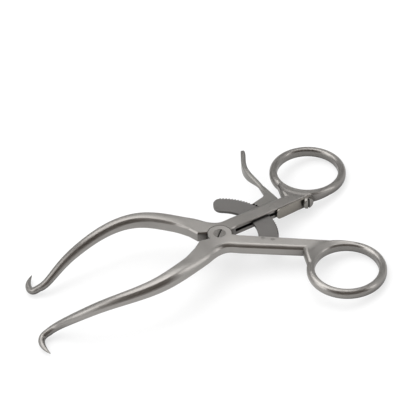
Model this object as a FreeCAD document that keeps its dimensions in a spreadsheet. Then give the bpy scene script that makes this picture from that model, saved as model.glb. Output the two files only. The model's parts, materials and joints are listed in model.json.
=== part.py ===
import FreeCAD, Part
import math
import operator
import os

import Sketcher

# A self retaining retractor: two forged arms on a lap joint, each with a finger ring behind
# the joint and an outward hook at its tip. Squeezing the rings spreads the hooks. A toothed
# arc fixed in the lower shank runs through a slot in the upper shank, where a sprung lever
# with pawl teeth holds it.
#
# The handle frame has its origin on the joint screw's axis at half thickness, X towards the
# rings, Z along the screw, and the upper arm on the +Y side. Every piece is drawn in it, or
# in the upper shank's own frame, and then placed as the retractor lies on a table: on the
# undersides of both rings and both hooks, which are at z = 0.

Z_AXIS = FreeCAD.Vector(0, 0, 1)

# Driving sizes: millimetres and degrees.
SIZES = [
    ("thick", 5.0, "thickness of the joint, shanks and rings"),
    ("shank_angle", 19.3, "inner side of a shank to the centre line"),
    ("shank_width", 6.9, "width of a shank at the joint, over its crowned outer side"),
    ("shank_slim", 6.0, "width of a shank where it meets its ring"),
    ("shank_crown", 1.8, "how far the crowned side stands out from the upper face"),
    ("crown_under", 0.8, "how far the crowned side stands out from the lower face"),
    ("crown_side", 1.3, "half height of the upright band on the crowned side"),
    ("crown_bulge", 0.15, "how far the slopes of the crowned side bulge"),
    ("shank_edge", 0.5, "bevel on the shank's inner edges"),
    ("shank_start", 9.0, "distance from the joint where the straight shank starts"),
    ("arm_lead", 4.0, "straight run of the arm's middle line inside the shank"),
    ("ring_along", 54.1, "ring centre, distance along the shank"),
    ("ring_bend", 8.1, "how far before the ring centre the shank starts to bend"),
    ("ring_bore", 13.15, "radius of the finger hole"),
    ("ring_wall", 3.3, "width of the ring's section"),
    ("ring_tall", 4.2, "height of the ring's section"),
    ("ring_inside", 1.2, "rounding of the ring's inner corners"),
    ("ring_outside", 1.7, "rounding of the ring's outer corners"),
    ("ring_offset", 0.45, "ring's middle circle to the shank's inner side"),
    ("rim_slope", 1.8, "width of the slope from the ring's crest up to the web's face"),
    ("rim_sunk", 0.02, "how deep the cut for the rim lies inside the ring"),
    ("root_turn", 20.0, "turn over which the end of the shank becomes the ring"),
    ("root_inset", 0.15, "how far inside the ring's middle circle the shank arrives"),
    ("root_width", 3.6, "width of the shank where it arrives at the ring"),
    ("root_slim", 3.2, "width of that bar where it ends inside the ring"),
    ("root_high", 4.5, "height of the shank where it arrives at the ring"),
    ("root_low", 4.0, "height of that bar where it ends inside the ring"),
    ("root_round", 0.8, "how round the shank is where it arrives at the ring"),
    ("leg_start", 6.0, "ring's side to the place where its leg starts, as an angle"),
    ("leg_turn", 24.0, "ring's side to the place where its leg leaves it, as an angle"),
    ("leg_side", 13.25, "ring centre to the middle of the leg, along the handle"),
    ("leg_low", 10.6, "ring centre to the middle of the leg, across the handle"),
    ("leg_foot", 17.0, "ring centre to the leg's foot, along the shank"),
    ("leg_rise", 5.0, "leg's foot to the shank's inner side"),
    ("leg_deep", 2.0, "end of the leg inside the shank, from its inner side"),
    ("leg_width", 3.5, "width of the leg in the middle"),
    ("foot_width", 4.5, "width of the leg's foot"),
    ("foot_round", 0.9, "how round the leg's foot is"),
    ("foot_spread", 6.5, "width of the leg's end inside the shank"),
    ("spread_round", 0.8, "how round that end is"),
    ("web_inset", 0.25, "web's edge to the crest of the leg"),
    ("web_under", 0.6, "web's corner under the ring's middle, as a share of the hole's radius"),
    ("web_before", 0.75, "web's corner before the ring's middle, as a share of that radius"),
    ("web_beside", 0.15, "the same corner across the handle, as a share of that radius"),
    ("ear_radius", 5.0, "round ear of the lap joint"),
    ("ear_gap", 0.2, "clearance round an ear in the other arm's recess"),
    ("lap_gap", 0.02, "clearance between the two lapped faces"),
    ("cheek_x", 9.0, "corner of the cheek beside the ear"),
    ("cheek_y", 2.2, "cheek corner to the centre line"),
    ("cheek_run", 3.7, "cheek's sloped side, along the handle"),
    ("cheek_rise", 4.9, "cheek's sloped side, across the handle"),
    ("cheek_bevel", 0.6, "bevel of the cheek's edges"),
    ("cheek_inside", 2.0, "cheek's corners under the ear, along the handle"),
    ("cheek_low", 1.0, "cheek's lower corners under the ear, across the handle"),
    ("cheek_high", 4.25, "cheek's upper corner under the ear, across the handle"),
    ("cheek_turn", 18.4, "direction in which the cheek meets the ear"),
    ("cheek_meet", 4.9, "distance from the joint's axis to that place"),
    ("head_radius", 2.6, "joint screw's countersunk head"),
    ("head_rim", 0.4, "cylindrical rim of that head"),
    ("screw_radius", 1.6, "joint screw's shank"),
    ("head_slot", 0.6, "width of the joint screw's slot"),
    ("head_slot_deep", 0.7, "depth of the joint screw's slot"),
    ("slot_turn", 61.0, "direction of the joint screw's slot"),
    ("running_gap", 0.05, "radial running clearance of pins and screws"),
    ("seat_gap", 0.02, "clearance of fixed pins, and how far they lie under the surface"),
    ("bar_outer", 24.65, "ratchet arc, radius over the teeth"),
    ("bar_width", 8.5, "width of the ratchet arc"),
    ("bar_thick", 1.2, "thickness of the ratchet arc and of the lever plate"),
    ("bar_rise", 0.35, "ratchet's mid plane above the joint's mid plane"),
    ("bar_end", 85.0, "free end of the ratchet arc"),
    ("bar_corner", 3.8, "corner radius of the free end"),
    ("bar_root", 8.5, "how far the ratchet goes into the lower shank, as an angle"),
    ("bar_fit", 0.05, "clearance of the ratchet in its pocket"),
    ("pocket_beyond", 0.2, "pocket's end beyond the ratchet's root, as an angle"),
    ("pocket_mouth", 12.0, "how far the pocket's cut reaches out of the shank, as an angle"),
    ("tooth_pitch", 3.05, "angle from tooth to tooth"),
    ("tooth_deep", 0.7, "depth of a tooth"),
    ("tooth_lean", 0.75, "share of the pitch taken by the sloping flank"),
    ("tooth_count", 31, "teeth on the ratchet"),
    ("tooth_over", 0.15, "how far a tooth cutter reaches outside the edge"),
    ("tooth_top", 79.5, "sloping flank of the last tooth starts at this angle"),
    ("rivet_radius", 0.8, "ratchet rivets"),
    ("rivet_edge", 2.2, "rivets to the ratchet's two edges"),
    ("rivet_turn", 4.8, "angle from the lower shank's inner side to the rivets"),
    ("slide_gap", 0.15, "clearance of ratchet and lever in the upper shank's slot"),
    ("slot_before", 8.3, "slot's end beside the joint, before the ratchet's inner side"),
    ("slot_beyond", 6.7, "slot's end towards the ring, beyond the lever pin"),
    ("pin_beyond", 2.95, "lever pin beyond the ratchet's teeth, along the shank"),
    ("pin_out", 2.3, "lever pin to the shank's inner side"),
    ("pin_radius", 1.1, "lever pin"),
    ("mesh_gap", 0.12, "pawl teeth to ratchet teeth with the lever at rest"),
    ("toe_angle", 43.2, "end of the pawl's toe"),
    ("heel_angle", 27.0, "inner end of the pawl's toothed edge"),
    ("notch_round", 2.7, "radius of the notch between toe and horn"),
    ("pawl_teeth", 4, "teeth on the pawl"),
    ("pawl_land", 0.25, "plain land at the toe before the first tooth, as a share of the pitch"),
    ("tail_beyond", 2.5, "middle of the lever's tail beyond its pin"),
    ("tail_width", 2.6, "width of the tail"),
    ("tail_out", 0.3, "how far the tail stands out of the shank's inner side"),
    ("tail_bevel", 0.3, "bevel of the tail's corners"),
    ("horn_thick", 2.1, "lever horn, thickness in the handle plane"),
    ("horn_tall", 4.6, "lever horn, height at its thumb end"),
    ("horn_slim", 1.68, "lever horn, thickness at its very end"),
    ("horn_corner", 0.3, "corner radius of the horn, as a share of its thickness"),
    ("spring_thick", 0.9, "leaf spring"),
    ("spring_wide", 4.8, "leaf spring, along the joint's axis"),
    ("spring_reach", 0.2, "free end of the spring beyond the lever pin"),
    ("spring_flat", 4.5, "where the spring leaves the shank, before its screw"),
    ("spring_tail", 2.9, "fixed end of the spring, beyond its screw"),
    ("spring_corner", 1.7, "corner radius of the spring"),
    ("clamp_back", 3.0, "spring screw before the place where the shank bends"),
    ("clamp_head", 2.45, "radius of the spring screw's head"),
    ("clamp_high", 1.55, "height of that head"),
    ("clamp_round", 0.35, "rounding of that head's rim"),
    ("clamp_radius", 1.2, "spring screw's shank"),
    ("clamp_deep", 4.2, "how deep the spring screw goes into the arm"),
    ("clamp_slot", 0.75, "width of the spring screw's slot"),
    ("clamp_slot_deep", 0.8, "depth of that slot"),
]

# The arm's centre line and section at each named place: distance in front of the joint,
# distance from the centre line, drop under the handle plane, width, height, and how round
# the forging is there, from 0 for a flat sided bar to 1 for a round one.
ARM = {
    "neck": (-2.5, 4.5, 0.0, 7.2, 5.0, 0.0),
    "flank": (5.7, 6.6, 0.0, 7.8, 5.0, 0.05),
    "shoulder": (9.5, 9.3, 0.0, 8.0, 5.0, 0.05),
    "upperarm": (13.4, 12.3, 0.2, 7.1, 5.4, 0.2),
    "elbow": (18.0, 15.3, 0.4, 6.7, 6.0, 0.4),
    "sweep": (23.5, 18.4, 0.65, 6.45, 6.2, 0.5),
    "bow": (30.0, 21.05, 1.3, 6.1, 6.1, 0.65),
    "crown": (38.0, 22.2, 2.8, 5.7, 5.7, 0.8),
    "forearm": (54.0, 20.0, 8.7, 4.9, 4.9, 0.95),
    "lowarm": (66.0, 16.4, 16.1, 4.1, 4.1, 1.0),
    "wrist": (75.5, 13.6, 23.2, 3.3, 3.3, 1.0),
    "bend": (79.2, 14.9, 25.2, 3.0, 3.0, 1.0),
    "back": (79.9, 18.3, 25.35, 2.6, 2.6, 1.0),
    "claw": (79.0, 21.8, 25.45, 1.6, 1.6, 1.0),
    "tip": (77.5, 24.7, 25.5, 0.3, 0.3, 1.0),
}
ARM_MEASURES = ("x", "y", "drop", "width", "height", "round")

# Corners of the lever plate and the horn's centre line, from the lever pin: along the handle,
# across it, and for the horn its height as a share of the way from plate to thumb pad.
LEVER = {
    "notch_foot": (-2.7, 8.5),
    "notch_head": (-1.25, 11.45),
    "neck_left": (-1.95, 15.7),
    "neck_right": (0.15, 15.8),
    "plate_side": (3.75, 7.1),
    "plate_foot": (4.4, 4.4),
}
HORN = {
    "horn_root": (0.3, 11.9, 0.0),
    "horn_low": (-0.9, 15.7, 0.08),
    "horn_rise": (-2.1, 19.2, 0.35),
    "horn_turn": (-4.0, 23.5, 0.8),
    "horn_mid": (-5.0, 27.6, 1.0),
    "horn_pad": (-4.95, 31.4, 1.0),
    "horn_top": (-4.3, 35.2, 1.0),
    "horn_end": (-3.6, 39.8, 0.95),
}

doc = FreeCAD.newDocument("Retractor")
sheet = doc.addObject("Spreadsheet::Sheet", "Sizes")


def fill_sheet():
    rows = list(SIZES)
    for place, measures in ARM.items():
        for measure, value in zip(ARM_MEASURES, measures):
            rows.append((f"{place}_{measure}", value, "arm"))
    for place, measures in [*LEVER.items(), *HORN.items()]:
        for measure, value in zip(("x", "y", "height"), measures):
            rows.append((f"{place}_{measure}", value, "lever"))
    for row, (alias, value, note) in enumerate(rows, 1):
        sheet.set(f"A{row}", note)
        sheet.set(f"B{row}", str(value))
        sheet.setAlias(f"B{row}", alias)
    doc.recompute()


class Size:
    """A size as a number and as the expression that gives it from the sheet."""

    def __init__(self, value, text):
        self.value = value
        self.text = text

    def __add__(self, other):
        return combine(self, "+", other)

    def __sub__(self, other):
        return combine(self, "-", other)

    def __mul__(self, other):
        return combine(self, "*", other)

    def __truediv__(self, other):
        return combine(self, "/", other)


OPERATORS = {"+": operator.add, "-": operator.sub, "*": operator.mul, "/": operator.truediv}


def as_size(number):
    return number if isinstance(number, Size) else Size(float(number), f"({number})")


def combine(left, sign, right):
    left = as_size(left)
    right = as_size(right)
    value = OPERATORS[sign](left.value, right.value)
    return Size(value, f"({left.text} {sign} {right.text})")


def size(alias):
    return Size(float(sheet.get(alias)), f"Sizes.{alias}")


def cosine(angle):
    return Size(math.cos(math.radians(angle.value)), f"cos({angle.text})")


def sine(angle):
    return Size(math.sin(math.radians(angle.value)), f"sin({angle.text})")


def arcsine(share):
    return Size(math.degrees(math.asin(share.value)), f"(asin({share.text}) / 1 deg)")


def root(number):
    return Size(math.sqrt(number.value), f"sqrt({number.text})")


def bind(item, **sizes):
    for name, value in sizes.items():
        item.setExpression(name.replace("__", "."), as_size(value).text)
    return item


def polar(radius, angle):
    return radius * cosine(angle), radius * sine(angle)


def shank_point(along, out):
    """Place in the handle frame: along the upper shank's inner side, and out from it."""
    turn = size("shank_angle")
    x = along * cosine(turn) - out * sine(turn)
    y = along * sine(turn) + out * cosine(turn)
    return x, y


def shank_end():
    return size("ring_along") - size("ring_bend")


def clamp_along():
    return shank_end() - size("clamp_back")


def pin_along():
    return size("bar_outer") + size("pin_beyond")


def bar_inner():
    return size("bar_outer") - size("bar_width")


def ring_centre():
    out = size("ring_bore") + size("ring_wall") / 2 + size("ring_offset")
    return shank_point(size("ring_along"), out)


def rivet_places():
    turn = size("shank_angle") * -1 - size("rivet_turn")
    inner = bar_inner() + size("rivet_edge")
    outer = size("bar_outer") - size("rivet_edge")
    return {"inner": polar(inner, turn), "outer": polar(outer, turn)}


def vector(point, z=0.0):
    return FreeCAD.Vector(point[0].value, point[1].value, z)


# Sketches and features


def arc_between(start, end, radius, turn):
    """The shorter arc from start to end: turn is 1 where it bends left and -1 where right."""
    chord = end - start
    middle = (start + end) / 2
    depth = math.sqrt(max(radius**2 - (chord.Length / 2) ** 2, 0))
    left = FreeCAD.Vector(-chord.y, chord.x, 0) / chord.Length
    centre = middle + left * (turn * depth)
    first = start if turn > 0 else end
    last = end if turn > 0 else start
    low = math.atan2(first.y - centre.y, first.x - centre.x)
    high = math.atan2(last.y - centre.y, last.x - centre.x)
    if high < low:
        high += 2 * math.pi
    return Part.ArcOfCircle(Part.Circle(centre, Z_AXIS, radius), low, high)


def new_sketch(body, role, name):
    sketch = body.newObject("Sketcher::SketchObject", name)
    plane = next(item for item in body.Origin.OriginFeatures if item.Role == role)
    sketch.AttachmentSupport = [(plane, "")]
    sketch.MapMode = "FlatFace"
    return sketch


def draw_outline(sketch, corners, bends=None):
    """A closed outline through the corners. bends gives radius and turn of the arcs, by the
    number of the corner where each starts."""
    bends = bends or {}
    ends = []
    for index, corner in enumerate(corners):
        start = vector(corner)
        end = vector(corners[(index + 1) % len(corners)])
        if index in bends:
            radius, turn = bends[index]
            sketch.addGeometry(arc_between(start, end, radius.value, turn))
            ends.append((1, 2) if turn > 0 else (2, 1))
        else:
            sketch.addGeometry(Part.LineSegment(start, end))
            ends.append((1, 2))
    for index in range(len(corners)):
        following = (index + 1) % len(corners)
        joint = (index, ends[index][1], following, ends[following][0])
        sketch.addConstraint(Sketcher.Constraint("Coincident", *joint))
    for index, corner in enumerate(corners):
        for kind, place in zip(("DistanceX", "DistanceY"), corner):
            fix = Sketcher.Constraint(kind, index, ends[index][0], place.value)
            number = sketch.addConstraint(fix)
            sketch.setExpression(f"Constraints[{number}]", place.text)
        if index in bends:
            radius = bends[index][0]
            half_round = vector(corner).distanceToPoint(vector(corners[index + 1])) > 1.99 * radius.value
            fix = Sketcher.Constraint("Radius", index, radius.value)
            if half_round:
                radius = corner[1]
                fix = Sketcher.Constraint("DistanceY", index, 3, radius.value)
            number = sketch.addConstraint(fix)
            sketch.setExpression(f"Constraints[{number}]", radius.text)


def new_body(name):
    return doc.addObject("PartDesign::Body", name)


def add_pad(body, sketch, length):
    pad = body.newObject("PartDesign::Pad", f"{sketch.Name}_pad")
    pad.Profile = sketch
    pad.SideType = "Symmetric"
    bind(pad, Length=length)
    return pad


def add_pocket(body, sketch, length):
    pocket = body.newObject("PartDesign::Pocket", f"{sketch.Name}_pocket")
    pocket.Profile = sketch
    pocket.SideType = "Symmetric"
    bind(pocket, Length=length)
    return pocket


def add_turn(body, sketch, kind="Revolution"):
    turned = body.newObject(f"PartDesign::{kind}", f"{sketch.Name}_turned")
    turned.Profile = sketch
    turned.ReferenceAxis = (sketch, ["V_Axis"])
    turned.Angle = 360
    return turned


def plate(name, corners, length, bends=None, rise=None):
    body = new_body(name)
    sketch = new_sketch(body, "XY_Plane", f"{name}_outline")
    draw_outline(sketch, corners, bends)
    if rise is not None:
        bind(sketch, AttachmentOffset__Base__z=rise)
    add_pad(body, sketch, length)
    return body


def turned(name, corners, bends=None):
    body = new_body(name)
    sketch = new_sketch(body, "XZ_Plane", f"{name}_profile")
    draw_outline(sketch, corners, bends)
    add_turn(body, sketch)
    return body


def cylinder(name, radius, height, at=(0, 0), base=0):
    rod = doc.addObject("Part::Cylinder", name)
    bind(rod, Radius=radius, Height=height)
    bind(rod, Placement__Base__x=at[0], Placement__Base__y=at[1], Placement__Base__z=base)
    return rod


def block(name, low, high, turn=None):
    box = doc.addObject("Part::Box", name)
    bind(box, Length=high[0] - low[0], Width=high[1] - low[1], Height=high[2] - low[2])
    corner = (low[0], low[1])
    if turn is not None:
        corner = shank_point(low[0], low[1])
        bind(box, Placement__Rotation__Angle=turn)
    bind(box, Placement__Base__x=corner[0], Placement__Base__y=corner[1])
    bind(box, Placement__Base__z=low[2])
    return box


def fuse(name, pieces):
    whole = doc.addObject("Part::MultiFuse", name)
    whole.Shapes = pieces
    return whole


def cut(name, base, tool):
    rest = doc.addObject("Part::Cut", name)
    rest.Base = base
    rest.Tool = tool
    return rest


# Forged bars: lofts through eight sided sections that grow round towards the hooks

CORNER_ANGLES = (60, 15, -15, -60, -120, -165, 165, 120)
SIDE_ANGLES = (37.5, 0, -37.5, -90, -142.5, 180, 142.5, 90)
SIDE_SWELL = 0.006


def on_oval(angle, wide, tall):
    return wide * math.cos(math.radians(angle)), tall * math.sin(math.radians(angle))


def mix(flat, oval, roundness):
    return tuple(a * (1 - roundness) + b * roundness for a, b in zip(flat, oval))


def section(centre, along, width, height, roundness):
    """A closed wire across the bar: its outer side is crowned and its inner side is flat."""
    wide = width / 2
    tall = height / 2
    crown = size("shank_crown").value
    under = size("crown_under").value
    band = size("crown_side").value
    edge = size("shank_edge").value
    bulge = size("crown_bulge").value
    flats = [
        (wide - crown, tall),
        (wide, band),
        (wide, -band),
        (wide - under, -tall),
        (-wide + edge, -tall),
        (-wide, -tall + edge),
        (-wide, tall - edge),
        (-wide + edge, tall),
    ]
    up = Z_AXIS - along * Z_AXIS.dot(along)
    up.normalize()
    out = along.cross(up)

    def place(pair):
        return centre + out * pair[0] + up * pair[1]

    corners = []
    sides = []
    for index, flat in enumerate(flats):
        following = flats[(index + 1) % len(flats)]
        middle = tuple((a + b) / 2 * (1 + SIDE_SWELL) for a, b in zip(flat, following))
        if index in (0, 2):
            middle = (middle[0] + bulge, middle[1] + math.copysign(bulge, middle[1]))
        corners.append(mix(flat, on_oval(CORNER_ANGLES[index], wide, tall), roundness))
        sides.append(mix(middle, on_oval(SIDE_ANGLES[index], wide, tall), roundness))
    edges = []
    for index, corner in enumerate(corners):
        following = corners[(index + 1) % len(corners)]
        arc = Part.Arc(place(corner), place(sides[index]), place(following))
        edges.append(arc.toShape())
    return Part.Wire(edges)


def loft(name, sections, ruled=False):
    item = doc.addObject("Part::Feature", name)
    item.Shape = Part.makeLoft(sections, True, ruled)
    return item


def shank_width(along):
    """Width of the shank at a distance from the joint: it tapers towards the ring."""
    share = (along - size("shank_start")) / (shank_end() - size("shank_start"))
    return size("shank_width") - (size("shank_width") - size("shank_slim")) * share


def shank_section(along):
    """The straight shank's own section at a distance from the joint."""
    width = shank_width(along)
    heading = vector(shank_point(as_size(-1), as_size(0)))
    centre = vector(shank_point(along, width / 2))
    return section(centre, heading, width.value, size("thick").value, 0)


def spline(points, knots=None):
    curve = Part.BSplineCurve()
    if knots:
        curve.interpolate(Points=points, Parameters=knots)
    else:
        curve.interpolate(Points=points)
    return curve


def arm_lofts():
    """The arm from the end of the straight shank to the wrist, and the hook beyond it."""
    start = vector(shank_point(size("shank_start"), size("shank_width") / 2))
    lead = vector(shank_point(size("shank_start") + size("arm_lead"), size("shank_width") / 2))
    centres = [lead, start]
    shank = (size("shank_width").value, size("thick").value, 0.0)
    measures = [shank, shank]
    for place in ARM:
        x, y, drop, *rest = (size(f"{place}_{measure}").value for measure in ARM_MEASURES)
        centres.append(FreeCAD.Vector(-x, y, -drop))
        measures.append(tuple(rest))
    line = spline(centres)
    knots = [line.parameter(centre) for centre in centres]
    forms = spline([FreeCAD.Vector(k, m[0], m[1]) for k, m in zip(knots, measures)], knots)
    rounds = spline([FreeCAD.Vector(k, m[2], 0) for k, m in zip(knots, measures)], knots)
    wrist = 2 + list(ARM).index("wrist")

    def cross(knot):
        along = line.tangent(knot)[0]
        form = forms.value(knot)
        roundness = min(max(rounds.value(knot).y, 0), 1)
        return section(line.value(knot), along, form.y, form.z, roundness)

    def stations(first, last):
        sections = []
        for low, high in zip(knots[first:last], knots[first + 1 : last + 1]):
            sections.append(cross(low))
            sections.append(cross((low + high) / 2))
        sections.append(cross(knots[last]))
        return sections

    arm = stations(1, wrist)
    arm[0] = shank_section(size("shank_start"))
    hook = stations(wrist, len(knots) - 1)
    return loft("arm_bar", arm), loft("hook_bar", hook)


def ring_root():
    """The end of the shank, which narrows and rounds as it bends into the ring."""
    centre = vector(ring_centre())
    middle = (size("ring_bore") + size("ring_wall") / 2).value
    arrival = middle - size("root_inset").value
    foot = size("shank_angle").value - 90
    arrives = (size("root_width").value, size("root_high").value, size("root_round").value)
    ends = (size("root_slim").value, size("root_low").value, 1.0)
    places = [(foot, arrival, arrives), (foot + size("root_turn").value, middle, ends)]
    sections = [shank_section(shank_end())]
    for turn, radius, form in places:
        spoke = FreeCAD.Vector(math.cos(math.radians(turn)), math.sin(math.radians(turn)), 0)
        along = FreeCAD.Vector(spoke.y, -spoke.x, 0)
        sections.append(section(centre + spoke * radius, along, *form))
    return loft("ring_root", sections)


def finger_ring():
    """The ring: its section has a flat land inside, a narrow crest and rounded corners."""
    bore = size("ring_bore")
    wall = size("ring_wall")
    inside = size("ring_inside")
    outside = size("ring_outside")
    crest = size("ring_tall") / 2
    corners = [
        (bore, inside - crest),
        (bore + inside, crest * -1),
        (bore + wall - outside, crest * -1),
        (bore + wall, outside - crest),
        (bore + wall, crest - outside),
        (bore + wall - outside, crest),
        (bore + inside, crest),
        (bore, crest - inside),
    ]
    bends = {0: (inside, 1), 2: (outside, 1), 4: (outside, 1), 6: (inside, 1)}
    ring = turned("finger_ring", corners, bends)
    centre = ring_centre()
    bind(ring, Placement__Base__x=centre[0], Placement__Base__y=centre[1])
    return ring


def finger_hole():
    """The cut for the finger hole: it leaves the ring's own rounded rim standing in the web,
    and a slope from its crest up to the web's faces."""
    sunk = size("rim_sunk")
    bore = size("ring_bore") + sunk
    inside = size("ring_inside")
    crest = size("ring_tall") / 2 - sunk
    half = size("thick") / 2
    rim = bore + inside
    slope = size("ring_bore") + size("ring_wall") / 2 + size("rim_slope")
    corners = [
        (as_size(0), half * -2),
        (slope, half * -2),
        (slope, half * -1),
        (rim, crest * -1),
        (bore, inside - crest),
        (bore, crest - inside),
        (rim, crest),
        (slope, half),
        (slope, half * 2),
        (as_size(0), half * 2),
    ]
    hole = turned("finger_hole", corners, {3: (inside, -1), 5: (inside, -1)})
    centre = ring_centre()
    bind(hole, Placement__Base__x=centre[0], Placement__Base__y=centre[1])
    return hole


def leg_points():
    """Middle line of the leg: on the ring, half way, at the foot and inside the shank."""
    ring_x, ring_y = ring_centre()
    out_x, out_y = polar(size("ring_bore") + size("ring_wall") / 2, size("leg_turn"))
    foot = size("ring_along") - size("leg_foot")
    return [
        (ring_x - out_x, ring_y - out_y),
        (ring_x - size("leg_side"), ring_y - size("leg_low")),
        shank_point(foot, size("leg_rise")),
        shank_point(foot, size("leg_deep")),
    ]


def ring_leg():
    """The leg in the crotch: the ring's bar runs on down into the shank and spreads there."""
    wall = size("ring_wall").value
    tall = size("ring_tall").value
    thick = size("thick").value
    ring_x, ring_y = ring_centre()
    start_x, start_y = polar(size("ring_bore") + size("ring_wall") / 2, size("leg_start"))
    points = [(ring_x - start_x, ring_y - start_y), *leg_points()]
    line = spline([vector(point) for point in points])
    forms = [
        (wall, tall, 1.0),
        (wall, tall, 1.0),
        (size("leg_width").value, thick, 1.0),
        (size("foot_width").value, thick, size("foot_round").value),
        (size("foot_spread").value, thick, size("spread_round").value),
    ]
    sections = []
    for point, form in zip(points, forms):
        along = line.tangent(line.parameter(vector(point)))[0]
        sections.append(section(vector(point), along, *form))
    return loft("ring_leg", sections)


def web():
    """The flat web between ring, leg and shank."""
    ring_x, ring_y = ring_centre()
    bore = size("ring_bore")
    inset = size("web_inset")
    ridge = size("shank_slim") - size("shank_crown")
    leave, middle, foot, deep = leg_points()
    corners = [
        (leave[0] + inset, leave[1]),
        (middle[0] + inset, middle[1]),
        (foot[0] + inset, foot[1]),
        deep,
        shank_point(shank_end() + size("rim_slope"), ridge / 2),
        (ring_x, ring_y - bore * size("web_under")),
        (ring_x - bore * size("web_before"), ring_y - bore * size("web_beside")),
    ]
    return plate("web", corners, size("thick"))


def cheek():
    """The inner corner of an arm beside its ear."""
    reach = size("cheek_x") * -1
    rise = size("cheek_y")
    inside = size("cheek_inside")
    low = size("cheek_low")
    meet_x, meet_y = polar(size("cheek_meet"), size("cheek_turn"))
    corners = [
        (inside, low),
        (inside, size("cheek_high")),
        (size("flank_x") * -1, size("flank_y")),
        (size("shoulder_x") * -1, size("shoulder_y")),
        (reach - size("cheek_run"), rise + size("cheek_rise")),
        (reach, rise),
        (meet_x * -1, meet_y),
        (inside * -1, low),
    ]
    body = plate("cheek", corners, size("thick"))
    doc.recompute()
    ends = [vector(corners[4]), vector(corners[5]), vector(corners[6])]
    middles = [(ends[0] + ends[1]) / 2, (ends[1] + ends[2]) / 2]
    sides = [
        f"Edge{number}"
        for number, edge in enumerate(body.Shape.Edges, 1)
        if any(math.hypot(edge.CenterOfMass.x - m.x, edge.CenterOfMass.y - m.y) < 0.01 for m in middles)
    ]
    pad = body.Tip
    bevel = body.newObject("PartDesign::Chamfer", "cheek_edge")
    bevel.Base = (pad, sides)
    bind(bevel, Size=size("cheek_bevel"))
    body.Tip = bevel
    return body


def blank():
    """One arm as forged, before the joint, slot and holes are cut: the upper one."""
    ends = [shank_section(size("shank_start")), shank_section(shank_end())]
    shank = loft("shank_bar", ends, True)
    arm, hook = arm_lofts()
    solid = fuse("forging", [shank, arm, hook, ring_root(), ring_leg(), web(), cheek()])
    holed = cut("holed", solid, finger_hole())
    return fuse("blank", [holed, finger_ring()])


def ratchet_angle(share=0):
    """Angle of the lower shank's inner side, less a turn into the shank."""
    return size("shank_angle") * -1 - share


def joint_hole():
    """Countersunk hole for the joint screw, in the ear under the head."""
    gap = size("seat_gap")
    half = size("thick") / 2
    head = size("head_radius") + gap
    rod = size("screw_radius") + gap
    rim = size("head_rim")
    corners = [
        (as_size(0), half * -1),
        (rod, half * -1),
        (rod, half - rim - (head - rod)),
        (head, half - rim),
        (head, half + 1),
        (as_size(0), half + 1),
    ]
    return turned("joint_hole", corners)


def lower_arm(forging):
    """The lower arm carries the ear on top of the lap joint and holds the ratchet's root."""
    mirrored = doc.addObject("Part::Mirroring", "lower_blank")
    mirrored.Source = forging
    mirrored.Normal = (0, 1, 0)
    half = size("thick") / 2
    recess_radius = size("ear_radius") + size("ear_gap")
    recess = cylinder("lower_recess", recess_radius, half * 2, base=half * -2)
    ear = cylinder("lower_ear", size("ear_radius"), half - size("lap_gap"), base=size("lap_gap"))
    body = fuse("lower_body", [cut("lower_lapped", mirrored, recess), ear])
    fit = size("bar_fit")
    pocket_thick = size("bar_thick") + fit * 2
    base = size("bar_rise") - pocket_thick / 2
    depth = size("bar_root") + size("pocket_beyond")
    outside = cylinder("pocket_outside", size("bar_outer") + fit, pocket_thick, base=base)
    inside = cylinder("pocket_inside", bar_inner() - fit, pocket_thick * 2, base=base - pocket_thick / 2)
    bind(outside, Angle=depth + size("pocket_mouth"), Placement__Rotation__Angle=ratchet_angle(depth))
    pocket = cut("ratchet_pocket", outside, inside)
    bore = size("rivet_radius") + size("seat_gap")
    holes = [
        cylinder(f"rivet_hole_{name}", bore, size("thick") * 2, place, size("thick") * -1)
        for name, place in rivet_places().items()
    ]
    tools = fuse("lower_cuts", [pocket, joint_hole(), *holes])
    return cut("lower_arm", body, tools)


def upper_arm(forging):
    """The upper arm has the recess round the other ear, and a slot for ratchet and lever."""
    half = size("thick") / 2
    recess = cylinder("upper_recess", size("ear_radius") + size("ear_gap"), half * 2)
    ear = cylinder("upper_ear", size("ear_radius"), half - size("lap_gap"), base=half * -1)
    body = fuse("upper_body", [cut("upper_lapped", forging, recess), ear])
    slot_half = size("bar_thick") / 2 + size("slide_gap")
    slot = block(
        "lever_slot",
        (bar_inner() - size("slot_before"), half * -1, size("bar_rise") - slot_half),
        (pin_along() + size("slot_beyond"), size("shank_width") + half, size("bar_rise") + slot_half),
        size("shank_angle"),
    )
    bore = size("screw_radius") + size("running_gap")
    screw_hole = cylinder("joint_bore", bore, size("thick"), base=size("thick") * -1)
    pin_hole = cylinder(
        "lever_pin_hole",
        size("pin_radius") + size("seat_gap"),
        size("thick") * 2,
        shank_point(pin_along(), size("pin_out")),
        size("thick") * -1,
    )
    clamp_hole = doc.addObject("Part::Cylinder", "clamp_hole")
    bind(clamp_hole, Radius=size("clamp_radius") + size("seat_gap"))
    bind(clamp_hole, Height=size("clamp_deep") + half)
    inwards = FreeCAD.Rotation(FreeCAD.Vector(1, 0, 0), -90)
    clamp_hole.Placement = shank_placement(clamp_along(), half * -1, inwards)
    tools = fuse("upper_cuts", [slot, screw_hole, pin_hole, clamp_hole])
    return cut("upper_arm", body, tools)


def shank_placement(along, out, turn=None):
    """Placement of a piece that is drawn at its own origin, on the upper shank."""
    spin = FreeCAD.Rotation(Z_AXIS, size("shank_angle").value)
    return FreeCAD.Placement(vector(shank_point(along, out)), spin * (turn or FreeCAD.Rotation()))


# Ratchet, lever and small pieces


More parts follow.
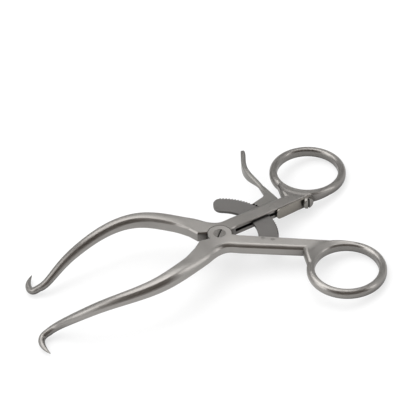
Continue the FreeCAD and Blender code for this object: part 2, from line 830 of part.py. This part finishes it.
def tooth_corners(radius, direction, top):
    """One tooth space: a sloping flank, a valley and a steep flank, cut into a round edge
    outwards of the radius where direction is 1 and inwards of it where -1."""
    pitch = size("tooth_pitch")
    over = size("tooth_over") * direction
    valley = radius - size("tooth_deep") * direction
    return [
        polar(radius + over, top),
        polar(valley, top + pitch * size("tooth_lean")),
        polar(radius + over, top + pitch),
    ]


def cut_teeth(body, name, corners, count, turn):
    sketch = new_sketch(body, "XY_Plane", f"{name}_outline")
    draw_outline(sketch, corners)
    pocket = add_pocket(body, sketch, size("thick") * 2)
    pattern = body.newObject("PartDesign::PolarPattern", f"{name}_row")
    pattern.Originals = [pocket]
    pattern.Axis = (sketch, ["N_Axis"])
    bind(pattern, Angle=turn, Occurrences=count)
    body.Tip = pattern


def ratchet_bar():
    outer = size("bar_outer")
    inner = bar_inner()
    corner = size("bar_corner")
    end = size("bar_end")
    start = ratchet_angle(size("bar_root"))
    outer_turn = end - arcsine(corner / (outer - corner))
    inner_turn = end - arcsine(corner / (inner + corner))
    outer_side = root((outer - corner) * (outer - corner) - corner * corner)
    inner_side = root((inner + corner) * (inner + corner) - corner * corner)
    corners = [
        polar(outer, start),
        polar(outer, outer_turn),
        polar(outer_side, end),
        polar(inner_side, end),
        polar(inner, inner_turn),
        polar(inner, start),
    ]
    bends = {0: (outer, 1), 1: (corner, 1), 3: (corner, 1), 4: (inner, -1)}
    body = plate("ratchet_body", corners, size("bar_thick"), bends, size("bar_rise"))
    last = size("tooth_top") - size("tooth_pitch") * (size("tooth_count") - 1)
    cut_teeth(
        body,
        "ratchet_teeth",
        tooth_corners(outer, 1, last),
        size("tooth_count"),
        size("tooth_pitch") * (size("tooth_count") - 1),
    )
    bore = size("rivet_radius") + size("seat_gap")
    holes = [
        cylinder(f"bar_hole_{name}", bore, size("thick"), place, size("thick") / -2)
        for name, place in rivet_places().items()
    ]
    return cut("ratchet_bar", body, fuse("bar_holes", holes))


def ratchet_rivets():
    """Two rivets hold the ratchet's root, filed flush with the lower shank."""
    length = size("thick") - size("seat_gap") * 2
    foot = size("thick") / -2 + size("seat_gap")
    pins = [
        cylinder(f"rivet_{name}", size("rivet_radius"), length, place, foot)
        for name, place in rivet_places().items()
    ]
    return fuse("ratchet_rivets", pins)


def from_pin(place):
    """A named place of the lever, which moves with the lever pin."""
    pin = shank_point(pin_along(), size("pin_out"))
    return pin[0] + size(f"{place}_x"), pin[1] + size(f"{place}_y")


def lever_plate():
    """The flat part of the lever: toe with pawl teeth, hub round the pin, and tail."""
    edge = size("bar_outer") + size("mesh_gap")
    toe = size("toe_angle")
    rod = size("pin_radius")
    middle = pin_along() + size("tail_beyond")
    half = size("tail_width") / 2
    bevel = size("tail_bevel")
    proud = size("tail_out") * -1
    corners = [
        polar(edge, toe),
        polar(edge, size("heel_angle")),
        shank_point(pin_along() - rod * 2, size("pin_out") - rod),
        shank_point(middle - half, bevel),
        shank_point(middle - half + bevel, proud),
        shank_point(middle + half - bevel, proud),
        shank_point(middle + half, bevel),
        from_pin("plate_foot"),
        from_pin("plate_side"),
        from_pin("neck_right"),
        from_pin("neck_left"),
        from_pin("notch_head"),
        from_pin("notch_foot"),
    ]
    bends = {0: (edge, -1), 11: (size("notch_round"), -1)}
    body = plate("lever_plate", corners, size("bar_thick"), bends, size("bar_rise"))
    pitch = size("tooth_pitch")
    count = size("pawl_teeth")
    first = toe - pitch * (count + size("pawl_land"))
    cut_teeth(
        body, "pawl_teeth_cut", tooth_corners(edge, -1, first), count, pitch * (count - 1)
    )
    return body


def lever_horn():
    """The horn rises from a flat bar beside the plate to a tall thumb pad."""
    centres = [vector(from_pin(place), size("bar_rise").value) for place in HORN]
    line = spline(centres)
    flat = size("bar_thick").value
    tall = size("horn_tall").value
    sections = []
    for place, centre in zip(HORN, centres):
        along = line.tangent(line.parameter(centre))[0]
        height = flat + (tall - flat) * size(f"{place}_height").value
        width = size("horn_slim" if place == "horn_end" else "horn_thick").value
        sections.append(bar_section(centre, along, width, height))
    return loft("lever_horn", sections)


def bar_section(centre, along, width, height):
    """A rectangle with rounded corners across a thin bar."""
    corner = width * size("horn_corner").value
    up = Z_AXIS
    out = along.cross(up)
    points = []
    for side_out, side_up in ((1, 1), (-1, 1), (-1, -1), (1, -1)):
        middle = centre + out * side_out * (width / 2 - corner) + up * side_up * (height / 2 - corner)
        first = middle + (out * side_out if side_out == side_up else up * side_up) * corner
        last = middle + (up * side_up if side_out == side_up else out * side_out) * corner
        bulge = middle + (out * side_out + up * side_up) * (corner * math.sqrt(0.5))
        points.append((first, bulge, last))
    edges = []
    for index, (first, bulge, last) in enumerate(points):
        edges.append(Part.Arc(first, bulge, last).toShape())
        edges.append(Part.LineSegment(last, points[(index + 1) % 4][0]).toShape())
    return Part.Wire(edges)


def release_lever():
    whole = fuse("lever_solid", [lever_plate(), lever_horn()])
    hole = cylinder(
        "lever_bore",
        size("pin_radius") + size("running_gap"),
        size("thick"),
        shank_point(pin_along(), size("pin_out")),
        size("thick") / -2,
    )
    return cut("release_lever", whole, hole)


def lever_pin():
    """Plain pin through shank and lever, at its own origin."""
    reach = size("thick") / 2 - size("seat_gap")
    rod = size("pin_radius")
    corners = [(as_size(0), reach * -1), (rod, reach * -1), (rod, reach), (as_size(0), reach)]
    return turned("lever_pin", corners)


def slotted(body, name, width, depth, top, length):
    """A screwdriver slot across the head, along the body's own Y axis."""
    sketch = new_sketch(body, "XZ_Plane", name)
    half = width / 2
    corners = [
        (half * -1, top - depth),
        (half, top - depth),
        (half, top + 1),
        (half * -1, top + 1),
    ]
    draw_outline(sketch, corners)
    return add_pocket(body, sketch, length)


def pivot_screw():
    half = size("thick") / 2
    head = size("head_radius")
    rod = size("screw_radius")
    rim = size("head_rim")
    top = half - size("seat_gap")
    foot = half * -1 + size("seat_gap")
    corners = [
        (as_size(0), foot),
        (rod, foot),
        (rod, half - rim - (head - rod)),
        (head, half - rim),
        (head, top),
        (as_size(0), top),
    ]
    screw = turned("pivot_screw", corners)
    slotted(screw, "joint_slot", size("head_slot"), size("head_slot_deep"), top, head * 3)
    return screw


def spring_screw():
    """Cheese head screw: origin under its head, head along +Z, turned to face the lower shank."""
    head = size("clamp_head")
    rod = size("clamp_radius")
    high = size("clamp_high")
    rim = size("clamp_round")
    low = (size("clamp_deep") + size("spring_thick") - size("seat_gap") * 2) * -1
    corners = [
        (as_size(0), low),
        (rod, low),
        (rod, as_size(0)),
        (head, as_size(0)),
        (head, high - rim),
        (head - rim, high),
        (as_size(0), high),
    ]
    screw = turned("spring_screw", corners, {4: (rim, 1)})
    slotted(screw, "clamp_slot_cut", size("clamp_slot"), size("clamp_slot_deep"), high, head * 3)
    return screw


def leaf_spring():
    """A leaf on the upper shank's inner side, bent off it so that its tip bears on the tail."""
    thin = size("spring_thick")
    lift = size("tail_out") + size("seat_gap")
    tip = pin_along() + size("spring_reach")
    bend = clamp_along() - size("spring_flat")
    tail = clamp_along() + size("spring_tail")
    bearing = pin_along() + size("tail_beyond") + size("tail_width") / 2
    corners = [
        (tip, lift * -1),
        (tip, (lift + thin) * -1),
        (bearing, (lift + thin) * -1),
        (bend, thin * -1),
        (tail, thin * -1),
        (tail, as_size(0)),
        (bend, as_size(0)),
        (bearing, lift * -1),
    ]
    body = plate("spring_leaf", corners, size("spring_wide"))
    doc.recompute()
    ends = [
        f"Edge{number}"
        for number, edge in enumerate(body.Shape.Edges, 1)
        if abs(edge.CenterOfMass.z) > size("spring_wide").value * 0.49
        and edge.Length < thin.value * 1.1
    ]
    pad = body.Tip
    rounded = body.newObject("PartDesign::Fillet", "spring_ends")
    rounded.Base = (pad, ends)
    bind(rounded, Radius=size("spring_corner"))
    body.Tip = rounded
    hole = doc.addObject("Part::Cylinder", "spring_hole")
    bind(hole, Radius=size("clamp_radius") + size("seat_gap"), Height=thin * 4)
    crosswise = FreeCAD.Rotation(FreeCAD.Vector(1, 0, 0), 90)
    hole.Placement = FreeCAD.Placement(FreeCAD.Vector(0, 0, 0), crosswise)
    bind(hole, Placement__Base__x=clamp_along(), Placement__Base__y=thin)
    return cut("leaf_spring", body, hole)


# Resting place and files


def rest_turn():
    """The tilt at which rings and hooks stand on one level."""
    tube = size("ring_outside").value
    far_x = (ring_centre()[0] + size("ring_bore") + size("ring_wall")).value - tube
    far_z = tube - size("ring_tall").value / 2
    near_x = -size("back_x").value
    near_z = -size("back_drop").value
    claw = size("back_width").value / 2
    span = math.hypot(far_x - near_x, far_z - near_z)
    tilt = math.atan2(far_z - near_z, far_x - near_x) + math.asin((tube - claw) / span)
    return FreeCAD.Rotation(FreeCAD.Vector(0, 1, 0), math.degrees(tilt))


def finish(nodes):
    """Tilt all pieces together, centre them over the origin and write one file for each."""
    turn = rest_turn()
    bounds = FreeCAD.BoundBox()
    for item, own in nodes.values():
        shape = item.Shape.copy()
        shape.Placement = FreeCAD.Placement(FreeCAD.Vector(), turn) * own * shape.Placement
        bounds.add(shape.optimalBoundingBox(False))
    shift = FreeCAD.Vector(-bounds.Center.x, -bounds.Center.y, -bounds.ZMin)
    rest = FreeCAD.Placement(shift, turn)
    for name, (item, own) in nodes.items():
        item.Label = name
        item.Placement = rest * own * item.Placement
    doc.recompute()
    for item in doc.Objects:
        if "Invalid" in item.State or "Error" in item.State:
            raise RuntimeError(f"{item.Name}: {item.getStatusString()}")
    os.makedirs("parts", exist_ok=True)
    for name, (item, own) in nodes.items():
        if item.Shape.isNull() or not item.Shape.isValid():
            raise RuntimeError(f"{name}: no valid shape")
        item.Shape.exportStep(f"parts/{name}.step")
    print("rest", rest)


def main():
    fill_sheet()
    forging = blank()
    here = FreeCAD.Placement()
    facing = FreeCAD.Rotation(FreeCAD.Vector(1, 0, 0), 90)
    slot_turn = FreeCAD.Rotation(Z_AXIS, size("slot_turn").value - 90)
    turned_slot = FreeCAD.Placement(FreeCAD.Vector(), slot_turn)
    seat = size("seat_gap") * -1
    clamp = shank_placement(clamp_along(), seat - size("spring_thick"), facing)
    nodes = {
        "lower_arm": (lower_arm(forging), here),
        "upper_arm": (upper_arm(forging), here),
        "pivot_screw": (pivot_screw(), turned_slot),
        "ratchet_bar": (ratchet_bar(), here),
        "ratchet_rivets": (ratchet_rivets(), here),
        "release_lever": (release_lever(), here),
        "lever_pin": (lever_pin(), shank_placement(pin_along(), size("pin_out"))),
        "leaf_spring": (leaf_spring(), shank_placement(as_size(0), seat)),
        "spring_screw": (spring_screw(), clamp),
    }
    doc.recompute()
    finish(nodes)


main()
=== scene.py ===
import json
import math

import bpy
from mathutils import Matrix, Vector


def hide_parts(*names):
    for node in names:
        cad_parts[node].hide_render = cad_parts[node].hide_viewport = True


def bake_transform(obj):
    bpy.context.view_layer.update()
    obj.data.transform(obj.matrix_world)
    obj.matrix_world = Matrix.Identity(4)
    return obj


# A self retaining retractor in satin stainless steel: two forged arms on a screw joint, a
# toothed arc, a sprung pawl lever, and finger rings. Sizes are in metres, except where a name
# says mm.

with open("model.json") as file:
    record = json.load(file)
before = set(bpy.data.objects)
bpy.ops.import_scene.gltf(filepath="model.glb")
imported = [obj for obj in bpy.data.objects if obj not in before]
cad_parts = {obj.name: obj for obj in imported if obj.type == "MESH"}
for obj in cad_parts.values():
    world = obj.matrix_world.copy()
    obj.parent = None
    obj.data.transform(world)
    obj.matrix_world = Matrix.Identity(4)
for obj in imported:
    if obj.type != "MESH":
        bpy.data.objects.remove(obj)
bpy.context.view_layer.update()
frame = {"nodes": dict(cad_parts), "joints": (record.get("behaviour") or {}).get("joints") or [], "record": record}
nodes = frame["nodes"]
joints = {joint["name"]: joint for joint in frame["joints"]}
mounts = {mount["name"]: Vector(mount["pos_m"]) for mount in frame["record"]["mounts"]}

MM = 0.001

# The joint screw leans from upright towards the finger rings.
joint_place = Vector(joints["main_hinge"]["pos_m"])
joint_axis = Vector(joints["main_hinge"]["axis"])
joint_lean = math.atan2(joint_axis.x, joint_axis.z)


def hex_colour(text):
    """An sRGB hex value as the linear colour that shader sockets take."""
    channels = (int(text[i:i + 2], 16) / 255 for i in (1, 3, 5))
    return (*(c / 12.92 if c <= 0.04045 else ((c + 0.055) / 1.055) ** 2.4 for c in channels), 1.0)


def add_node(tree, kind, inputs=None, **settings):
    """Adds a shader node; inputs gives its sockets a value, or the output that feeds them."""
    node = tree.nodes.new(kind)
    for name, value in settings.items():
        setattr(node, name, value)
    for socket, value in (inputs or {}).items():
        if isinstance(value, bpy.types.NodeSocket):
            tree.links.new(value, node.inputs[socket])
        else:
            node.inputs[socket].default_value = value
    return node


# Steels

# The way that the polishing belt's lines run on the upper arm, seen from above: along the
# shank, then outwards to the arm's crown, then along the forearm. The lower arm mirrors it.
SHANK_ANGLE = math.radians(19.3)
FLANK_ANGLE = math.radians(-28.0)
FOREARM_ANGLE = math.radians(13.0)

# Where they turn, along X: at the joint, and round the crown.
JOINT_TURN = (joint_place.x - 7 * MM, joint_place.x + 5 * MM)
CROWN_TURN = (-43 * MM, -11 * MM)

# They run round the finger ring up to the first of these distances from its centre, and
# straight from the second one on.
RING_LINES = (17 * MM, 20 * MM)

# How far the highlights stretch across the belt's lines, from 0 to 1.
BELT_STRETCH = 0.8


def across_grain(tree, place, side):
    """The direction across the polishing belt's lines, which run along shank and arm and round
    the finger ring. side is 1 on the upper arm and -1 on the lower one."""
    x = add_node(tree, "ShaderNodeSeparateXYZ", {"Vector": place}).outputs["X"]
    joint_turn = add_node(
        tree,
        "ShaderNodeMapRange",
        {
            "Value": x,
            "From Min": JOINT_TURN[0],
            "From Max": JOINT_TURN[1],
            "To Min": FLANK_ANGLE * side,
            "To Max": SHANK_ANGLE * side,
        },
        interpolation_type="SMOOTHSTEP",
    ).outputs["Result"]
    crown_turn = add_node(
        tree,
        "ShaderNodeMapRange",
        {
            "Value": x,
            "From Min": CROWN_TURN[0],
            "From Max": CROWN_TURN[1],
            "To Min": (FOREARM_ANGLE - FLANK_ANGLE) * side,
            "To Max": 0.0,
        },
        interpolation_type="SMOOTHSTEP",
    ).outputs["Result"]
    angle = add_node(
        tree, "ShaderNodeMath", {0: joint_turn, 1: crown_turn}, operation="ADD"
    ).outputs[0]
    sine = add_node(tree, "ShaderNodeMath", {0: angle}, operation="SINE").outputs[0]
    cosine = add_node(tree, "ShaderNodeMath", {0: angle}, operation="COSINE").outputs[0]
    left = add_node(tree, "ShaderNodeMath", {0: sine, 1: -1.0}, operation="MULTIPLY").outputs[0]
    across = add_node(tree, "ShaderNodeCombineXYZ", {"X": left, "Y": cosine}).outputs["Vector"]
    centre = mounts["upper_finger_ring" if side > 0 else "lower_finger_ring"]
    spoke = add_node(
        tree, "ShaderNodeVectorMath", {0: place, 1: centre}, operation="SUBTRACT"
    ).outputs["Vector"]
    reach = add_node(
        tree, "ShaderNodeVectorMath", {0: spoke}, operation="LENGTH"
    ).outputs["Value"]
    outward = add_node(
        tree, "ShaderNodeVectorMath", {0: spoke}, operation="NORMALIZE"
    ).outputs["Vector"]
    on_ring = add_node(
        tree,
        "ShaderNodeMapRange",
        {
            "Value": reach,
            "From Min": RING_LINES[0],
            "From Max": RING_LINES[1],
            "To Min": 1.0,
            "To Max": 0.0,
        },
    ).outputs["Result"]
    return add_node(
        tree, "ShaderNodeMix", {"Factor": on_ring, "A": across, "B": outward}, data_type="VECTOR"
    ).outputs["Result"]


# The colour wanders in patches of this size, and it follows the grit by this share.
PATCH_MM = 9.0
GRIT_SHARE = 0.45

# The part of the noise's 0 to 1 that the roughness follows from its least to its most.
NOISE_LOW, NOISE_HIGH = 0.3, 0.7

# Painted shade: in slots, corners and undersides narrower than this, ambient occlusion darkens
# the steel's colour where shade falls. The steel is darkest where it is as shut in as SHUT_IN,
# with the share LEAST_COLOUR of its own colour left, and has all of it where it is as open as OPEN.
NARROW_MM = 12.0
PAINTED_SHADE_COLOUR = "#2A2826"
SHUT_IN, OPEN = 0.35, 0.92
LEAST_COLOUR = 0.05


def steel(name, dark, light, roughness, spread, grit_mm, grit_height_mm, edge_mm, side=0):
    """Stainless steel: its colour wanders between two greys and its roughness by spread to
    either side, the marks of the blasting grit stand in its bump, and its edges are broken by
    edge_mm. Where side is given, a belt has drawn its highlights out across its lines."""
    material = bpy.data.materials.new(name)
    material.use_nodes = True
    tree = material.node_tree
    shader = tree.nodes["Principled BSDF"]
    place = add_node(tree, "ShaderNodeTexCoord").outputs["Object"]
    cloud = add_node(
        tree,
        "ShaderNodeTexNoise",
        {"Vector": place, "Scale": 1 / (PATCH_MM * MM), "Detail": 3.0, "Roughness": 0.6},
    )
    speckle = add_node(
        tree, "ShaderNodeTexNoise", {"Vector": place, "Scale": 1 / (grit_mm * MM), "Detail": 2.0}
    )
    both = add_node(
        tree,
        "ShaderNodeMix",
        {"Factor": GRIT_SHARE, "A": cloud.outputs["Fac"], "B": speckle.outputs["Fac"]},
        data_type="FLOAT",
    )
    tint = add_node(
        tree,
        "ShaderNodeMix",
        {"Factor": both.outputs["Result"], "A": hex_colour(dark), "B": hex_colour(light)},
        data_type="RGBA",
    )
    gloss = add_node(
        tree,
        "ShaderNodeMapRange",
        {
            "Value": both.outputs["Result"],
            "From Min": NOISE_LOW,
            "From Max": NOISE_HIGH,
            "To Min": roughness - spread,
            "To Max": roughness + spread,
        },
    )
    rounded = add_node(tree, "ShaderNodeBevel", {"Radius": edge_mm * MM}, samples=4)
    relief = add_node(
        tree,
        "ShaderNodeBump",
        {
            "Height": speckle.outputs["Fac"],
            "Distance": grit_height_mm * MM,
            "Strength": 1.0,
            "Normal": rounded.outputs["Normal"],
        },
    )
    # Painted shade: ambient occlusion darkens the colour in narrow places and where the steel faces the table or a
    # neighbour.
    shade_occlusion = add_node(
        tree, "ShaderNodeAmbientOcclusion", {"Distance": NARROW_MM * MM}, samples=8
    )
    unshaded_share = add_node(
        tree,
        "ShaderNodeMapRange",
        {
            "Value": shade_occlusion.outputs["AO"],
            "From Min": SHUT_IN,
            "From Max": OPEN,
            "To Min": LEAST_COLOUR,
            "To Max": 1.0,
        },
    )
    colour = add_node(
        tree,
        "ShaderNodeMix",
        {
            "Factor": unshaded_share.outputs["Result"],
            "A": hex_colour(PAINTED_SHADE_COLOUR),
            "B": tint.outputs["Result"],
        },
        data_type="RGBA",
    )
    tree.links.new(colour.outputs["Result"], shader.inputs["Base Color"])
    tree.links.new(gloss.outputs["Result"], shader.inputs["Roughness"])
    tree.links.new(relief.outputs["Normal"], shader.inputs["Normal"])
    shader.inputs["Metallic"].default_value = 1.0
    if side:
        tree.links.new(across_grain(tree, place, side), shader.inputs["Tangent"])
        shader.inputs["Anisotropic"].default_value = BELT_STRETCH
    return material


# The marks of glass beads are about 0.05 mm across, too fine to show at this size, so every
# grit here is drawn three to five times as coarse.

# Forged stainless steel, glass beaded and then brushed on a belt: soft grey, with wide blurred
# highlights that the belt's lines pull out sideways, and well rounded edges. The lower arm's
# greys are a little lighter, as painted light for the brighter sheen that falls on it, so the
# two arms are lit and shaded copies of one steel.
forged_grain = {
    "roughness": 0.32, "spread": 0.04, "grit_mm": 0.25, "grit_height_mm": 0.003, "edge_mm": 0.25,
}
upper_forging = steel(
    "satin_forged_stainless_upper", dark="#868380", light="#9D9A96", side=1, **forged_grain
)
lower_forging_painted_lighter = steel(
    "satin_forged_stainless_lower", dark="#8D8A87", light="#A4A19D", side=-1, **forged_grain
)

# Pins of the same steel, ground flush and beaded with the shanks, so they all but vanish there.
flush_steel = steel("satin_flush_pins", dark="#868380", light="#9D9A96", **forged_grain)

# Stainless plate, stamped and grit blasted: an even, darker grey with no clear reflections.
matt_plate = steel(
    "matt_blasted_plate", dark="#6B6967", light="#807E7C", roughness=0.45, spread=0.05,
    grit_mm=0.18, grit_height_mm=0.004, edge_mm=0.12,
)

# The lever is plate of the same kind, but lighter and smoother in the photograph, as if it was
# dressed on a wheel after blasting, with softer edges for the thumb.
lever_plate = steel(
    "satin_blasted_lever", dark="#7B7976", light="#908E8A", roughness=0.38, spread=0.05,
    grit_mm=0.20, grit_height_mm=0.004, edge_mm=0.2,
)

# Hardened strip, left as it was rolled and tempered: a slightly warm grey, fairly smooth.
spring_strip = steel(
    "rolled_spring_strip", dark="#7E7A73", light="#938E87", roughness=0.33, spread=0.04,
    grit_mm=0.20, grit_height_mm=0.003, edge_mm=0.15,
)

# Turned and slotted screws, the smoothest of the pieces: small bright glints on their rims.
turned_steel = steel(
    "turned_screw_steel", dark="#7E7B77", light="#979490", roughness=0.30, spread=0.05,
    grit_mm=0.15, grit_height_mm=0.003, edge_mm=0.12,
)

FINISHES = {
    "lower_arm": lower_forging_painted_lighter,
    "upper_arm": upper_forging,
    "pivot_screw": turned_steel,
    "ratchet_bar": matt_plate,
    "ratchet_rivets": flush_steel,
    "release_lever": lever_plate,
    "lever_pin": flush_steel,
    "leaf_spring": spring_strip,
    "spring_screw": turned_steel,
}
for name, finish in FINISHES.items():
    mesh = nodes[name].data
    mesh.materials.clear()
    mesh.materials.append(finish)

# Leaf spring: it is held at its screw, and its tip bears on the lever's tail.


def sprung_leaf():
    """The leaf spring's own mesh, copied from the CAD part, which is hidden, with its place baked in."""
    leaf = bpy.data.objects.new("sprung_leaf", nodes["leaf_spring"].data.copy())
    bpy.context.scene.collection.objects.link(leaf)
    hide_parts("leaf_spring")
    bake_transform(leaf)


sprung_leaf()

# Studio


def paint(name, colour, brightened=0.0):
    """A plain matt surface. Where it is brightened, what the eye and the metal see of it is
    partly an even white, so the object's shadow stays faint."""
    material = bpy.data.materials.new(name)
    material.use_nodes = True
    tree = material.node_tree
    shader = tree.nodes["Principled BSDF"]
    shader.inputs["Base Color"].default_value = hex_colour(colour)
    shader.inputs["Roughness"].default_value = 0.9
    if brightened:
        rays = add_node(tree, "ShaderNodeLightPath").outputs
        seen = rays["Is Camera Ray"]
        for kind in ("Is Glossy Ray", "Is Transmission Ray"):
            seen = add_node(
                tree, "ShaderNodeMath", {0: seen, 1: rays[kind]}, operation="MAXIMUM"
            ).outputs[0]
        share = add_node(
            tree, "ShaderNodeMath", {0: seen, 1: brightened}, operation="MULTIPLY"
        ).outputs[0]
        glow = add_node(
            tree, "ShaderNodeEmission", {"Color": hex_colour("#FFFFFF"), "Strength": 1.0}
        )
        both = add_node(
            tree,
            "ShaderNodeMixShader",
            {"Fac": share, 1: shader.outputs["BSDF"], 2: glow.outputs["Emission"]},
        )
        tree.links.new(both.outputs["Shader"], tree.nodes["Material Output"].inputs["Surface"])
    return material


def facing_middle(location, front):
    """Turns a card or lamp at location so that its front axis points at the frame's origin."""
    return (-Vector(location)).to_track_quat(front, "Y").to_euler()


def stage_plane(name, size, location, rotation, material):
    bpy.ops.mesh.primitive_plane_add(size=1, location=location, rotation=rotation)
    plane = bpy.context.object
    plane.name = name
    plane.scale = (*size, 1)
    plane.data.materials.append(material)
    return plane


def flag(name, size, location, material):
    """A card that only the metal sees. It throws no shadow and no light."""
    card = stage_plane(name, size, location, facing_middle(location, "Z"), material)
    card.visible_camera = False
    card.visible_diffuse = False
    card.visible_shadow = False


def softbox(name, watts, size, location):
    light = bpy.data.lights.new(name, "AREA")
    light.shape = "RECTANGLE"
    light.size, light.size_y = size
    light.energy = watts
    lamp = bpy.data.objects.new(name, light)
    lamp.location = location
    lamp.rotation_euler = facing_middle(location, "-Z")
    lamp.visible_camera = False
    bpy.context.scene.collection.objects.link(lamp)


table_white = paint("white_table_paper", "#F6F6F6", brightened=0.65)
stage_plane("table", size=(6, 6), location=(0, 0, 0), rotation=(0, 0, 0), material=table_white)

# The dark card on the camera's side draws the dark bands along the crowned steel, and the grey
# one opposite sets the grey of its flats.
flag(
    "front_flag", size=(1.6, 1.36), location=(0, -0.5, 0.5),
    material=paint("dark_card", "#655C55"),
)
flag(
    "back_card", size=(2.4, 0.7), location=(0.1, 0.75, 0.42),
    material=paint("grey_card", "#BABABA"),
)

# The key lights flats and crowns from above and behind, and the side boxes put light lines on
# arms and rings from left and right.
softbox("key_box", watts=4.8, size=(0.9, 0.75), location=(-0.02, 0.42, 0.85))
softbox("left_box", watts=2.1, size=(0.62, 0.62), location=(-0.73, -0.06, 0.62))
softbox("right_box", watts=0.8, size=(0.2, 0.5), location=(0.75, -0.3, 0.45))

world = bpy.data.worlds.new("studio_air")
bpy.context.scene.world = world
world.use_nodes = True
world.node_tree.nodes["Background"].inputs["Color"].default_value = hex_colour("#EBEBEB")
world.node_tree.nodes["Background"].inputs["Strength"].default_value = 1.0
bpy.context.scene.view_settings.view_transform = "Standard"

# Camera: the photograph's own place, found by fitting its rings, shanks and arms. Elevation,
# turn and roll are those of a view in which the joint screw would stand upright.

LENS_MM = 200.0
FILM_MM = 36.0
PIXELS = 400
PIXELS_PER_MM = 2.4
VIEW_ELEVATION = math.radians(39.932)
VIEW_TURN = math.radians(10.786)
VIEW_ROLL = math.radians(2.328)
JOINT_PIXEL = (219.71, 237.80)


def photo_camera():
    """Stands the camera so that the joint screw falls on its pixel at the photograph's scale."""
    rest = Matrix.Translation(joint_place) @ Matrix.Rotation(joint_lean, 4, "Y")
    look_down = Matrix.Rotation(VIEW_ELEVATION - math.pi / 2, 4, "X")
    facing = Matrix.Rotation(VIEW_ROLL, 4, "Z") @ look_down @ Matrix.Rotation(VIEW_TURN, 4, "Z")
    distance = LENS_MM / FILM_MM * PIXELS / PIXELS_PER_MM * MM
    centre = PIXELS / 2
    aside = (JOINT_PIXEL[0] - centre) / PIXELS_PER_MM * MM
    below = (JOINT_PIXEL[1] - centre) / PIXELS_PER_MM * MM
    seen = Matrix.Translation((aside, -below, -distance)) @ facing
    lens = bpy.data.cameras.new("photo_camera")
    lens.lens = LENS_MM
    lens.sensor_width = FILM_MM
    camera = bpy.data.objects.new("photo_camera", lens)
    camera.matrix_world = rest @ seen.inverted()
    bpy.context.scene.collection.objects.link(camera)
    bpy.context.scene.camera = camera


photo_camera()
